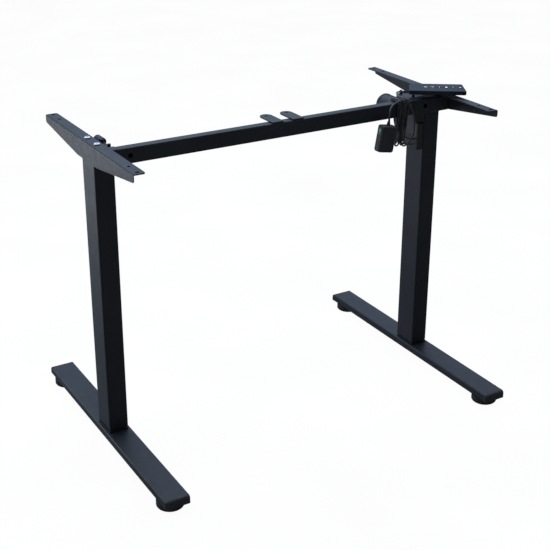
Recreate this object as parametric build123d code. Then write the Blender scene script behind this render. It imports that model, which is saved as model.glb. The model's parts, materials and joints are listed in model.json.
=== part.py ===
from build123d import *
import math
import os

# Height adjustable standing desk frame, without its desktop. All sizes in millimetres.
# The model is laid out about the crossbeam's seam: +X to the right leg, +Y to the back, +Z up,
# with the floor at FLOOR.
# On writing it is moved so that the origin is the centre of its footprint box, on the floor.

# ---------------------------------------------------------------- driving dimensions
FRAME_HEIGHT = 700.0          # top of the side brackets, legs closed
FLOOR = 15.0                  # underside of the levelling glides
ORIGIN_X = 15.0               # the handset overhangs the right bracket by twice this

COLUMN_X = 406.5              # column and foot centre from the seam
COLUMN_W, COLUMN_D = 43.0, 65.0
OUTER_WALL, INNER_WALL = 1.5, 1.8
INNER_W, INNER_D = 36.8, 58.8
OUTER_BOTTOM, OUTER_TOP = 58.0, 662.0
INNER_TOP = 612.0
RUN_GAP = 0.2                 # clearance of a plastic guide on the steel it runs on

FOOT_LENGTH, FOOT_W, FOOT_H = 642.0, 55.0, 18.0
FOOT_TOP = 49.5
FOOT_WALL = 2.0
FOOT_CAP = 9.0                # length of the moulded end outside the tube
CAP_NOSE_R, CAP_SIDE_R, CAP_TONGUE = 7.5, 2.5, 14.0
FOOT_BOLT_X, FOOT_BOLT_Y = 11.0, 21.0   # from the column's centre line
FOOT_BOLT_R, FOOT_BOLT_HEAD_R, FOOT_BOLT_HEAD_H = 3.0, 5.5, 3.5
GLIDE_Y = 284.0
GLIDE_R, GLIDE_H, STUD_R = 29.0, 16.0, 4.0
PLATE_T = 4.0
NUT_DEPTH, NUT_CAP = 22.0, 4.0
GUIDE_TOP, GUIDE_LENGTH = INNER_TOP - 4.0, 48.0
MOUTH_LENGTH, MOUTH_LIP = 30.0, 1.5

BRACKET_X = 430.0             # outer face of the web
BRACKET_LENGTH, FLANGE_W = 455.0, 25.4
WEB_T, FLANGE_T = 2.0, 2.5
WEB_END_H, WEB_MID_H = 16.3, 39.5
WEB_MID_HALF = 50.0           # half of the web's deep middle stretch
DESK_HOLE_X, DESK_HOLE_Y, DESK_HOLE_R = 417.0, 180.0, 3.5
SLOT_Y, SLOT_LENGTH = 218.0, 9.5
BRACKET_BOLT_X, BRACKET_BOLT_Y, BRACKET_BOLT_R = 416.5, 25.0, 4.0
BOLT_HEAD_R, BOLT_HEAD_H, BOLT_SOCKET = 6.2, 2.8, 4.0
BEND_R, BRACKET_CORNER_R = 3.0, 5.0

BEAM_FRONT, BEAM_BACK = -61.0, -39.5
BEAM_BOTTOM, BEAM_TOP = 661.7, 695.0
BEAM_WALL = 1.8
SLEEVE_HALF = 280.0
SOCKET_T = 1.2
SOCKET_INNER = {-1: 388.0, 1: 330.0}
SPACER_INNER, SPACER_OUTER = 392.0, 420.5   # plate between the collar and the column
SPACER_BOTTOM, SPACER_TOP = 650.0, 688.0
LOCK_HOLE_X, LOCK_HOLE_R = 362.0, 5.0
TAB_X, TAB_W, TAB_T, TAB_REAR = 25.0, 27.0, 3.0, 3.0
TAB_HOLE_Y, TAB_HOLE_R = -10.0, 3.0

SHAFT_Z = 668.0               # height of the cross drive shaft, on the columns' centre line
HEX_ROD, HEX_BORE = 9.9, 10.1  # across flats
TUBE_R, JOURNAL_R = 8.0, 9.2
TUBE_LEFT, TUBE_RIGHT = -366.0, 215.0
BORE_LEFT, ROD_LEFT = -360.0, -320.0
BEVEL_R, BEVEL_SMALL_R, BEVEL_HUB = 11.0, 6.0, 5.0
MESH_GAP = 0.25               # taken off each gear's pitch radius
TURN_GAP = 0.6                # clearance round a turning gear
SCREW_R, SCREW_BOTTOM = 7.0, 80.0
BORE_GAP = 0.05               # radial clearance of a running fit

MOTOR_X, MOTOR_Z, MOTOR_R = 370.0, 644.0, 24.0
MOTOR_FRONT, MOTOR_SEAM, MOTOR_BACK = 40.0, 98.0, 109.0
WORM_R, WHEEL_R, SPINDLE_R = 9.85, 13.85, 4.0
WORM_HALF, WHEEL_HALF = 14.0, 7.0
SPINDLE_FRONT, SPINDLE_BACK = -27.0, 62.0

HOUSING_PLUG, HOUSING_TOP, LID_TOP = 630.0, 682.6, 685.0
HOUSING_HALF_Y = 31.0
HOUSING_OUT = BRACKET_X - WEB_T - 0.2   # the housings' outboard face
WELL_INNER, WELL_OUTER, WELL_HALF_Y = 388.0, 425.5, 19.0   # hollow over the column's mouth
SCREW_HEAD_BORE, BEVEL_BORE = 652.0, 650.0
SHOULDER_X = 406.0            # the lid's raised part runs from here outwards
BOLT_DEPTH = 12.0             # of the bracket bolts in the housing
BOSS_X, BOSS_Z, BOSS_R, BOSS_LENGTH = 383.0, 684.5, 9.0, 28.0
LID_SCREW_R, LID_SCREW_H = 3.6, 9.0

HANDSET_CENTRE = (398.6, -53.8)
HANDSET_TURN = -34.0          # about Z, from +X
HANDSET_BACK, HANDSET_FRONT, HANDSET_DEPTH = 121.0, 130.0, 66.0
HANDSET_BOTTOM, HANDSET_SEAM, HANDSET_TOP = 705.7, 709.5, 715.0
KEY_PITCH, KEY_W, KEY_D = 15.6, 11.0, 9.0
KEY_FIRST, KEY_ROW = -25.3, 1.5
KEY_GAP, KEY_SKIRT, KEY_RADIUS = 0.25, 1.0, 1.3
KEY_SINK, SKIRT_SINK, SKIRT_H, KEY_PROUD = 2.7, 3.5, 1.2, 0.3
HANDSET_WALL, HANDSET_CORNER_R = 2.0, 5.0
HANDSET_BOSSES = [(14, -12), (-30, 4)]  # screw bosses under the handset
GLAND_Y, GLAND_Z, GLAND_R, GLAND_LENGTH = -12.0, 706.6, 2.7, 14.0

BOX_T, BOX_BOTTOM, BOX_TOP = 16.0, 563.0, 628.0   # control box on the column's inner face
BOX_FRONT, BOX_BACK = -30.0, 22.0

BRICK_CENTRE = (234.5, -89.0, 628.5)
BRICK_W, BRICK_D, BRICK_H, BRICK_LEAN = 41.0, 24.0, 60.0, 10.0
INLET_W, INLET_D, INLET_DEPTH, PIN_X, PIN_R = 18.0, 9.0, 9.0, 4.5, 1.2
LEAD_R, MOTOR_LEAD_R = 1.8, 2.5
HANK_FRONT, HANK_NECK, HANK_BACK, HANK_TOP = -76.0, -71.0, -26.0, 705.0
HANK_BOTTOM, HANK_BACK_BOTTOM, HANK_GAP = 592.0, 652.0, 0.8
HANK_LEAN, LEAN_FROM = 13.0, 600.0   # sideways from this height up to the beam's top

SIDES = {"left": -1, "right": 1}


# ---------------------------------------------------------------- helpers
def block(x0, x1, y0, y1, z0, z1):
    """A box between two corners, in either order along X."""
    size = (abs(x1 - x0), y1 - y0, z1 - z0)
    return Pos((x0 + x1) / 2, (y0 + y1) / 2, (z0 + z1) / 2) * Box(*size)


def rod_z(x, y, r, z0, z1):
    return Pos(x, y, (z0 + z1) / 2) * Cylinder(r, z1 - z0)


def rod_y(x, z, r, y0, y1):
    return Pos(x, (y0 + y1) / 2, z) * Rot(90, 0, 0) * Cylinder(r, y1 - y0)


def rod_x(y, z, r, x0, x1):
    return Pos((x0 + x1) / 2, y, z) * Rot(0, 90, 0) * Cylinder(r, abs(x1 - x0))


def upright(x, w, d, r, z0, z1):
    """A rounded rectangular bar standing on the column's centre line."""
    return Pos(x, 0, z0) * extrude(RectangleRounded(w, d, r), amount=z1 - z0)


def upright_ring(x, outer, inner, r_out, r_in, z0, z1):
    return upright(x, *outer, r_out, z0, z1) - upright(x, *inner, r_in, z0, z1)


def beam_bar(x0, x1, grow, r):
    """A rounded bar along X on the crossbeam's section, grown by grow on each side."""
    w = BEAM_BACK - BEAM_FRONT + 2 * grow
    h = BEAM_TOP - BEAM_BOTTOM + 2 * grow
    place = Pos(min(x0, x1), (BEAM_FRONT + BEAM_BACK) / 2, (BEAM_BOTTOM + BEAM_TOP) / 2)
    return place * extrude(Plane.YZ * RectangleRounded(w, h, r), amount=abs(x1 - x0))


def hex_bar(flats, x0, x1):
    """A hexagonal bar along X on the drive shaft's line."""
    shape = RegularPolygon(flats / 2, 6, major_radius=False)
    return Pos(min(x0, x1), 0, SHAFT_Z) * extrude(Plane.YZ * shape, amount=abs(x1 - x0))


def write(name, *solids):
    """Moves a node to the part's own origin and writes its STEP file."""
    moved = [Pos(-ORIGIN_X, 0, -FLOOR) * solid for shape in solids for solid in shape.solids()]
    node = moved[0] if len(moved) == 1 else Compound(children=moved)
    export_step(node, f"parts/{name}.step")


# ---------------------------------------------------------------- foot and lower leg
def foot(s):
    half = FOOT_LENGTH / 2 - FOOT_CAP
    z = FOOT_TOP - FOOT_H / 2
    place = Pos(s * COLUMN_X, half, z)
    outer = extrude(Plane.XZ * RectangleRounded(FOOT_W, FOOT_H, 3), amount=2 * half)
    hollow = RectangleRounded(FOOT_W - 2 * FOOT_WALL, FOOT_H - 2 * FOOT_WALL, 1)
    tube = place * (outer - extrude(Plane.XZ * hollow, amount=2 * half))
    under = FOOT_TOP - FOOT_H
    for y in (-GLIDE_Y, GLIDE_Y):
        tube -= rod_z(s * COLUMN_X, y, STUD_R + BORE_GAP, under - 1, under + FOOT_WALL + 1)
    for x, y in foot_bolt_places(s):
        tube -= rod_z(x, y, FOOT_BOLT_R + RUN_GAP, under - 1, FOOT_TOP + 1)
    return tube


def foot_cap(s, end):
    """Moulded plug: a rounded nose outside the tube and a tongue inside it."""
    tube_end = FOOT_LENGTH / 2 - FOOT_CAP
    y0, y1 = sorted((end * tube_end, end * FOOT_LENGTH / 2))
    x, under = s * COLUMN_X, FOOT_TOP - FOOT_H
    nose = block(x - FOOT_W / 2, x + FOOT_W / 2, y0, y1, under, FOOT_TOP)
    tip = nose.faces().sort_by(Axis.Y)[-1 if end > 0 else 0]
    top_edge = tip.edges().sort_by(Axis.Z)[-1]
    nose = fillet(top_edge, CAP_NOSE_R)
    along = nose.edges().filter_by(Axis.Y)
    nose = fillet(along, CAP_SIDE_R)
    t0, t1 = sorted((end * (tube_end - CAP_TONGUE), end * (tube_end + 1)))
    inset = FOOT_WALL + 2 * RUN_GAP
    half_w = FOOT_W / 2 - inset
    return nose + block(x - half_w, x + half_w, t0, t1, under + inset, FOOT_TOP - inset)


def foot_bolt_places(s):
    x = s * COLUMN_X
    return [(x + dx, dy) for dx in (-FOOT_BOLT_X, FOOT_BOLT_X) for dy in (-FOOT_BOLT_Y, FOOT_BOLT_Y)]


def foot_bolts(s):
    under = FOOT_TOP - FOOT_H
    bolts = []
    for x, y in foot_bolt_places(s):
        head = rod_z(x, y, FOOT_BOLT_HEAD_R, under - FOOT_BOLT_HEAD_H, under)
        head = fillet(head.edges().sort_by(Axis.Z)[0], 1.5)
        bolts.append(head + rod_z(x, y, FOOT_BOLT_R, under - 1, FOOT_TOP + PLATE_T + 3))
    return bolts


def base_plate(s):
    plate = upright(s * COLUMN_X, COLUMN_W + 1, COLUMN_D + 1, 4, FOOT_TOP, FOOT_TOP + PLATE_T)
    for x, y in foot_bolt_places(s):
        plate -= rod_z(x, y, FOOT_BOLT_R + BORE_GAP, FOOT_TOP - 1, FOOT_TOP + PLATE_T + 1)
    return plate


def inner_tube(s):
    hollow = (INNER_W - 2 * INNER_WALL, INNER_D - 2 * INNER_WALL)
    return upright_ring(s * COLUMN_X, (INNER_W, INNER_D), hollow, 3, 1.2, FOOT_TOP + PLATE_T, INNER_TOP)


def lift_nut(s):
    """Brass nut in the inner tube's head, which the screw draws up and down."""
    x = s * COLUMN_X
    plug_w, plug_d = (side - 2 * INNER_WALL - RUN_GAP for side in (INNER_W, INNER_D))
    plug = upright(x, plug_w, plug_d, 1.2, INNER_TOP - NUT_DEPTH, INNER_TOP)
    cap = upright(x, INNER_W, INNER_D, 3, INNER_TOP, INNER_TOP + NUT_CAP)
    bore = rod_z(x, 0, SCREW_R + BORE_GAP, INNER_TOP - NUT_DEPTH - 1, INNER_TOP + NUT_CAP + 1)
    return plug + cap - bore


def inner_guide(s):
    """Plastic band on the inner tube, which runs in the outer tube."""
    cavity = [side - 2 * OUTER_WALL - 2 * RUN_GAP for side in (COLUMN_W, COLUMN_D)]
    inner = (INNER_W, INNER_D)
    return upright_ring(s * COLUMN_X, cavity, inner, 2.3, 3, GUIDE_TOP - GUIDE_LENGTH, GUIDE_TOP)


def glide(s, end):
    """Levelling foot: a thick rounded pad moulded on a steel stud."""
    x, y = s * COLUMN_X, end * GLIDE_Y
    top = FLOOR + GLIDE_H
    pad = rod_z(x, y, GLIDE_R, FLOOR, top)
    pad = fillet(pad.edges().sort_by(Axis.Z)[-1], 2)
    pad = fillet(pad.edges().sort_by(Axis.Z)[0], 5)
    return pad + rod_z(x, y, STUD_R, top - 1, FOOT_TOP - 4)


# ---------------------------------------------------------------- upper leg
def outer_tube(s):
    hollow = (COLUMN_W - 2 * OUTER_WALL, COLUMN_D - 2 * OUTER_WALL)
    tube = upright_ring(s * COLUMN_X, (COLUMN_W, COLUMN_D), hollow, 4, 2.5, OUTER_BOTTOM, OUTER_TOP)
    return tube - rod_x(0, SHAFT_Z, TUBE_R + 1.5, s * (COLUMN_X - COLUMN_W), s * COLUMN_X)


def mouth_guide(s):
    """Plastic sleeve in the outer tube's mouth, with a lip over its edge."""
    x, bottom = s * COLUMN_X, OUTER_BOTTOM - MOUTH_LIP
    hollow = (COLUMN_W - 2 * OUTER_WALL, COLUMN_D - 2 * OUTER_WALL)
    bore = (INNER_W + 2 * RUN_GAP, INNER_D + 2 * RUN_GAP)
    rim = (COLUMN_W - 3 * RUN_GAP, COLUMN_D - 3 * RUN_GAP)
    sleeve = upright_ring(x, hollow, bore, 2.5, 3.2, bottom, OUTER_BOTTOM + MOUTH_LENGTH)
    return sleeve + upright_ring(x, rim, bore, 3.7, 3.2, bottom, OUTER_BOTTOM)


def side_bracket(s):
    """Pressed angle: a flange under the desktop and a web that deepens at the column."""
    half = BRACKET_LENGTH / 2
    top = FRAME_HEIGHT
    outline = Polyline(
        (-half, top), (half, top), (half, top - WEB_END_H), (WEB_MID_HALF, top - WEB_MID_H),
        (-WEB_MID_HALF, top - WEB_MID_H), (-half, top - WEB_END_H), close=True)
    web = extrude(Plane.YZ * make_face(outline), amount=WEB_T)
    low = web.edges().filter_by(Axis.X).sort_by(Axis.Z)
    web = fillet(low[0:4], BRACKET_CORNER_R)
    web = Pos(BRACKET_X - WEB_T, 0, 0) * web
    flange = block(BRACKET_X - FLANGE_W, BRACKET_X, -half, half, top - FLANGE_T, top)
    corners = flange.edges().filter_by(Axis.Z).sort_by(Axis.X)[0:2]
    flange = fillet(corners, BRACKET_CORNER_R)
    bracket = web + flange
    bend = bracket.edges().filter_by(Axis.Y).filter_by(
        lambda e: e.center().X > BRACKET_X - 0.01 and e.center().Z > top - 0.01)
    bracket = fillet(bend, BEND_R)
    for y in (-DESK_HOLE_Y, DESK_HOLE_Y):
        bracket -= rod_z(DESK_HOLE_X, y, DESK_HOLE_R, top - 5, top + 5)
    for y in (-SLOT_Y, SLOT_Y):
        slot = extrude(SlotOverall(SLOT_LENGTH, 2 * DESK_HOLE_R), amount=10)
        bracket -= Pos(DESK_HOLE_X, y, top - 5) * slot
    for y in (-BRACKET_BOLT_Y, BRACKET_BOLT_Y):
        bracket -= rod_z(BRACKET_BOLT_X, y, BRACKET_BOLT_R + RUN_GAP, top - 5, top + 5)
    return bracket if s > 0 else mirror(bracket, about=Plane.YZ)


def bracket_bolts(s):
    """Domed socket screws that hold the bracket down on the gearbox housing."""
    x, bolts = s * BRACKET_BOLT_X, []
    for y in (-BRACKET_BOLT_Y, BRACKET_BOLT_Y):
        head = rod_z(x, y, BOLT_HEAD_R, FRAME_HEIGHT, FRAME_HEIGHT + BOLT_HEAD_H)
        head = fillet(head.edges().sort_by(Axis.Z)[-1], 1.5)
        hexagon = RegularPolygon(BOLT_SOCKET / 2, 6, major_radius=False)
        socket = Pos(x, y, FRAME_HEIGHT + BOLT_HEAD_H / 2) * extrude(hexagon, amount=BOLT_HEAD_H)
        shank = rod_z(x, y, BRACKET_BOLT_R, HOUSING_TOP - BOLT_DEPTH, FRAME_HEIGHT)
        bolts.append(head - socket + shank)
    return bolts


def beam(s):
    """One half of the crossbeam, with the locking hole in its front wall."""
    outer = beam_bar(s * 0.15, s * (BRACKET_X - WEB_T - 1), 0, 2.5)
    hollow = beam_bar(0, s * BRACKET_X, -BEAM_WALL, 1)
    tube = outer - hollow
    mid = (BEAM_BOTTOM + BEAM_TOP) / 2
    return tube - rod_y(s * LOCK_HOLE_X, mid, LOCK_HOLE_R, BEAM_FRONT - 1, BEAM_FRONT + BEAM_WALL + 1)


def beam_sleeve():
    """Tube inside both halves of the crossbeam, which lets it widen."""
    outer = beam_bar(-SLEEVE_HALF, SLEEVE_HALF, -BEAM_WALL - RUN_GAP, 0.9)
    return outer - beam_bar(-SLEEVE_HALF - 1, SLEEVE_HALF + 1, -2 * BEAM_WALL - RUN_GAP, 0.5)


def beam_socket(s):
    """Collar that holds the beam's end, with a spacer welded to the column."""
    x0, x1 = s * SOCKET_INNER[s], s * (BRACKET_X - WEB_T)
    collar = beam_bar(x0, x1, SOCKET_T, 3.5)
    mid = (BEAM_BOTTOM + BEAM_TOP) / 2
    collar -= rod_y(s * LOCK_HOLE_X, mid, LOCK_HOLE_R, BEAM_FRONT - SOCKET_T - 1, BEAM_FRONT + 1)
    y0, y1 = BEAM_BACK + SOCKET_T - 1, -COLUMN_D / 2
    spacer = block(s * SPACER_INNER, s * SPACER_OUTER, y0, y1, SPACER_BOTTOM, SPACER_TOP)
    return collar + spacer - beam_bar(x0, s * (BRACKET_X + 1), 0, 2.5)


def beam_tab(s):
    """Flat tab with a hole, which screws up into the desktop."""
    r = TAB_W / 2
    y_end = TAB_REAR - r
    plate = block(s * (TAB_X - r), s * (TAB_X + r), BEAM_FRONT + 0.5, y_end, BEAM_TOP, BEAM_TOP + TAB_T)
    plate += rod_z(s * TAB_X, y_end, r, BEAM_TOP, BEAM_TOP + TAB_T)
    return plate - rod_z(s * TAB_X, TAB_HOLE_Y, TAB_HOLE_R, BEAM_TOP - 1, BEAM_TOP + TAB_T + 1)


# ---------------------------------------------------------------- drive
def gearbox_inner(s):
    """X of the housing's inboard face, and its lowest point and back face."""
    return (356.0, 631.0, MOTOR_FRONT) if s > 0 else (380.0, 652.0, HOUSING_HALF_Y)


def gearbox_housing(s):
    """Cast housing: a plug in the column's mouth, a head over it and an inboard side."""
    x = s * COLUMN_X
    inner, low, back = gearbox_inner(s)
    face = s * (COLUMN_X - COLUMN_W / 2)
    plug_w, plug_d = (side - 2 * OUTER_WALL - RUN_GAP for side in (COLUMN_W, COLUMN_D))
    body = upright(x, plug_w, plug_d, 2.4, HOUSING_PLUG, OUTER_TOP)
    body += block(face, s * HOUSING_OUT, -HOUSING_HALF_Y, HOUSING_HALF_Y, OUTER_TOP, HOUSING_TOP)
    body += block(s * inner, face, -HOUSING_HALF_Y, back, low, HOUSING_TOP)
    body -= block(s * WELL_INNER, s * WELL_OUTER, -WELL_HALF_Y, WELL_HALF_Y, OUTER_TOP, HOUSING_TOP + 1)
    body -= rod_z(x, 0, SCREW_R + BORE_GAP, HOUSING_PLUG - 1, SCREW_HEAD_BORE)
    body -= rod_z(x, 0, BEVEL_R + 1, BEVEL_BORE, OUTER_TOP + 1)
    body -= rod_x(0, SHAFT_Z, BEVEL_R + TURN_GAP, s * (WELL_INNER + RUN_GAP), x)
    body -= rod_x(0, SHAFT_Z, JOURNAL_R + BORE_GAP, s * (inner - 1), s * (WELL_INNER + 1))
    if s > 0:
        body -= worm_room(back)
    else:
        boss = rod_y(-BOSS_X, BOSS_Z, BOSS_R, back, back + BOSS_LENGTH)
        body += fillet(boss.edges().sort_by(Axis.Y)[-1], 3)
    for y in (-BRACKET_BOLT_Y, BRACKET_BOLT_Y):
        hole_r = BRACKET_BOLT_R + BORE_GAP
        body -= rod_z(s * BRACKET_BOLT_X, y, hole_r, HOUSING_TOP - BOLT_DEPTH - 0.5, HOUSING_TOP + 1)
    return body


def worm_room(back):
    """Room in the right housing for the worm, its wheel and the spindle's far bearing."""
    reach = WHEEL_R + TURN_GAP
    x0, x1 = MOTOR_X - WHEEL_HALF - 1, MOTOR_X + WHEEL_HALF + 1
    room = rod_x(0, SHAFT_Z, reach, x0, x1)
    room += block(x0, x1, -reach, reach, SHAFT_Z, HOUSING_TOP + 1)
    worm_end = -WORM_HALF - 4
    room += rod_y(MOTOR_X, MOTOR_Z, WORM_R + TURN_GAP, worm_end, back + 1)
    return room + rod_y(MOTOR_X, MOTOR_Z, SPINDLE_R + BORE_GAP, SPINDLE_FRONT - 1, worm_end + 1)


def gearbox_lid(s):
    """Lid with the raised shoulder that the side bracket is bolted down on."""
    inner, _, back = gearbox_inner(s)
    out = s * HOUSING_OUT
    lid = block(s * inner, out, -HOUSING_HALF_Y, back, HOUSING_TOP, LID_TOP)
    lid = fillet(lid.edges().filter_by(Axis.Z), 3)
    half = HOUSING_HALF_Y
    lid += block(s * SHOULDER_X, out, -half, half, LID_TOP, FRAME_HEIGHT - FLANGE_T)
    for y in (-14, back - 8):
        screw = rod_z(s * (inner + 7), y, LID_SCREW_R, LID_TOP - 1, LID_TOP + LID_SCREW_H)
        lid += fillet(screw.edges().sort_by(Axis.Z)[-1], 1.2)
    for y in (-BRACKET_BOLT_Y, BRACKET_BOLT_Y):
        lid -= rod_z(s * BRACKET_BOLT_X, y, BRACKET_BOLT_R + BORE_GAP, HOUSING_TOP - 1, FRAME_HEIGHT)
    return lid


def bevel():
    """Smooth pitch body of a 1:1 bevel gear on +Z, its large end at the origin."""
    height = BEVEL_R - BEVEL_SMALL_R
    cone = Pos(0, 0, height / 2) * Cone(BEVEL_R - MESH_GAP, BEVEL_SMALL_R - MESH_GAP, height)
    return cone + Pos(0, 0, -BEVEL_HUB / 2) * Cylinder(BEVEL_R - MESH_GAP, BEVEL_HUB)


def lead_screw(s):
    """Screw and the bevel gear on its head."""
    gear_z = SHAFT_Z - BEVEL_R
    x = s * COLUMN_X
    return [rod_z(x, 0, SCREW_R, SCREW_BOTTOM, gear_z - BEVEL_HUB), Pos(x, 0, gear_z) * bevel()]


def shaft_bevel(s):
    """Bevel gear on the cross shaft, facing the column's centre."""
    return Pos(s * (COLUMN_X - BEVEL_R), 0, SHAFT_Z) * Rot(0, s * 90, 0) * bevel()


def drive_tube():
    """Left part of the telescoping cross shaft, with a hexagonal bore."""
    gear_back = -(COLUMN_X - BEVEL_R - BEVEL_HUB)
    collar = 1.5
    tube = rod_x(0, SHAFT_Z, TUBE_R, TUBE_LEFT, TUBE_RIGHT) - hex_bar(HEX_BORE, BORE_LEFT, TUBE_RIGHT + 1)
    tube += rod_x(0, SHAFT_Z, JOURNAL_R, gear_back + collar, TUBE_LEFT + 2)
    return [tube, shaft_bevel(-1) + rod_x(0, SHAFT_Z, TUBE_R, gear_back, gear_back + collar)]


def drive_rod():
    """Right part of the cross shaft: hexagonal rod, worm wheel, bearings and bevel gear."""
    gear_back = COLUMN_X - BEVEL_R - BEVEL_HUB
    hexagon = hex_bar(HEX_ROD, ROD_LEFT, gear_back)
    rings = [
        (WHEEL_R, MOTOR_X - WHEEL_HALF, MOTOR_X + WHEEL_HALF),
        (JOURNAL_R, MOTOR_X - WHEEL_HALF - 6.5, MOTOR_X - WHEEL_HALF - 1.5),
        (JOURNAL_R, MOTOR_X + WHEEL_HALF + 1.5, WELL_INNER - 0.5)]
    return [hexagon, *(rod_x(0, SHAFT_Z, r, x0, x1) - hexagon for r, x0, x1 in rings), shaft_bevel(1)]


def worm_shaft():
    shaft = rod_y(MOTOR_X, MOTOR_Z, SPINDLE_R, SPINDLE_FRONT, SPINDLE_BACK)
    return shaft + rod_y(MOTOR_X, MOTOR_Z, WORM_R, -WORM_HALF, WORM_HALF)


def motor_can():
    can = rod_y(MOTOR_X, MOTOR_Z, MOTOR_R, MOTOR_FRONT, MOTOR_SEAM)
    can = fillet(can.edges().sort_by(Axis.Y)[0], 2)
    return can - rod_y(MOTOR_X, MOTOR_Z, SPINDLE_R + BORE_GAP, MOTOR_FRONT - 1, SPINDLE_BACK + 1)


def motor_end_cap():
    """Domed plastic cap on the motor's back end."""
    cap = rod_y(MOTOR_X, MOTOR_Z, MOTOR_R + 0.6, MOTOR_SEAM, MOTOR_BACK)
    return fillet(cap.edges().sort_by(Axis.Y)[-1], 7)


# ---------------------------------------------------------------- electrics
def control_box():
    face = COLUMN_X - COLUMN_W / 2
    box = block(face - BOX_T, face, BOX_FRONT, BOX_BACK, BOX_BOTTOM, BOX_TOP)
    sharp = box.edges().filter_by(lambda e: e.center().X < face - 0.01)
    return fillet(sharp, 2.5)


def power_brick():
    """Power supply hanging by its own lead, with a mains inlet in its lower end."""
    shell = Box(BRICK_W, BRICK_D, BRICK_H)
    shell = fillet(shell.edges().filter_by(Axis.Z), 7)
    shell = fillet(shell.faces().sort_by(Axis.Z)[-1].edges(), 5)
    shell = fillet(shell.faces().sort_by(Axis.Z)[0].edges(), 5)
    shell += Pos(0, 0, BRICK_H / 2 + 4) * Cone(4.2, 2.6, 9)
    inlet_z = (INLET_DEPTH - BRICK_H) / 2
    shell -= Pos(0, 0, inlet_z - 0.5) * Box(INLET_W, INLET_D, INLET_DEPTH + 1)
    for x in (-PIN_X, PIN_X):
        shell += Pos(x, 0, inlet_z) * Cylinder(PIN_R, INLET_DEPTH)
    return Pos(*BRICK_CENTRE) * Rot(0, BRICK_LEAN, 0) * shell


def handset_place():
    return Pos(*HANDSET_CENTRE, 0) * Rot(0, 0, HANDSET_TURN)


def handset_outline(inset):
    back, front = HANDSET_BACK / 2 - inset, HANDSET_FRONT / 2 - inset
    y = HANDSET_DEPTH / 2 - inset
    line = Polyline((-back, y), (back, y), (front, -y), (-front, -y), close=True)
    sketch = make_face(line)
    return fillet(sketch.vertices(), HANDSET_CORNER_R - inset)


def key_places():
    return [(KEY_FIRST + n * KEY_PITCH, KEY_ROW) for n in range(6)]


def handset_base():
    """Lower shell with two screw bosses under it and the lead's gland at its left end."""
    height = HANDSET_SEAM - HANDSET_BOTTOM
    base = Pos(0, 0, HANDSET_BOTTOM) * extrude(handset_outline(0), amount=height)
    base = chamfer(base.faces().sort_by(Axis.Z)[0].edges(), 1.2)
    base -= Pos(0, 0, HANDSET_BOTTOM + 1.5) * extrude(handset_outline(HANDSET_WALL), amount=height)
    for x, y in HANDSET_BOSSES:
        base += rod_z(x, y, 5, FRAME_HEIGHT, HANDSET_BOTTOM + 2)
        base -= rod_z(x, y, 2, FRAME_HEIGHT - 1, HANDSET_BOTTOM + 1)
    gland = Pos(-HANDSET_FRONT / 2 - 4, GLAND_Y, GLAND_Z) * Rot(0, 90, 0) * Cylinder(GLAND_R, GLAND_LENGTH)
    inside = Pos(0, 0, HANDSET_BOTTOM - 5) * extrude(handset_outline(HANDSET_WALL), amount=20)
    return handset_place() * (base + (gland - inside))


def handset_top():
    """Upper shell with an opening for each key."""
    height = HANDSET_TOP - HANDSET_SEAM
    top = Pos(0, 0, HANDSET_SEAM) * extrude(handset_outline(0), amount=height)
    top = fillet(top.faces().sort_by(Axis.Z)[-1].edges(), 2)
    hollow = extrude(handset_outline(HANDSET_WALL), amount=height - HANDSET_WALL)
    top -= Pos(0, 0, HANDSET_SEAM - 0.01) * hollow
    for x, y in key_places():
        opening = RectangleRounded(KEY_W + 2 * KEY_GAP, KEY_D + 2 * KEY_GAP, KEY_RADIUS + KEY_GAP)
        top -= Pos(x, y, HANDSET_TOP - 4) * extrude(opening, amount=6)
    return handset_place() * top


def handset_key(x, y):
    """A key cap with a wider skirt that the shell holds in."""
    cap = extrude(RectangleRounded(KEY_W, KEY_D, KEY_RADIUS), amount=KEY_SINK + KEY_PROUD)
    wider = RectangleRounded(KEY_W + 2 * KEY_SKIRT, KEY_D + 2 * KEY_SKIRT, KEY_RADIUS)
    skirt = Pos(x, y, HANDSET_TOP - SKIRT_SINK) * extrude(wider, amount=SKIRT_H)
    return handset_place() * (Pos(x, y, HANDSET_TOP - KEY_SINK) * cap + skirt)


# ---------------------------------------------------------------- cables
HANDSET_ROUTE = [
    (328.9, -21.3, 706.6), (321.5, -17.6, 706.8), (313.0, -19.5, 707.3), (305.5, -27.0, 707.9),
    (299.5, -37.0, 708.4), (294.0, -48.0, 708.8), (290.5, -60.0, 708.8), (293.5, -72.0, 708.0),
    (299.5, -80.5, 701.0), (307.0, -83.0, 688.0), (313.5, -83.0, 670.0), (317.5, -82.5, 650.0),
    (319.0, -81.5, 630.0), (316.0, -79.0, 612.0), (308.0, -75.0, 601.0), (297.0, -71.0, 597.0)]
HANDSET_TAIL = [
    (303.0, -32.0, 660.0), (306.0, -30.5, 638.0), (318.0, -27.0, 615.0), (338.0, -23.5, 598.0),
    (357.0, -20.0, 589.5), (372.0, -17.5, 587.0)]
BRICK_ROUTE = [
    (241.19, -89.0, 666.42), (243.4, -87.5, 678.5), (248.5, -82.0, 690.0), (259.0, -75.5, 697.0),
    (273.0, -71.0, 700.5), (289.0, -69.0, 702.0)]
BRICK_TAIL = [
    (285.0, -32.0, 660.0), (287.5, -29.5, 636.0), (300.0, -23.5, 609.0), (322.0, -16.0, 590.0),
    (348.0, -10.0, 576.5), (372.0, -7.0, 571.0)]
MOTOR_ROUTE = [
    (372.0, 66.0, 624.0), (372.5, 64.5, 606.0), (374.0, 55.0, 590.5), (375.5, 39.5, 582.0),
    (376.5, 20.0, 579.0)]


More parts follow.
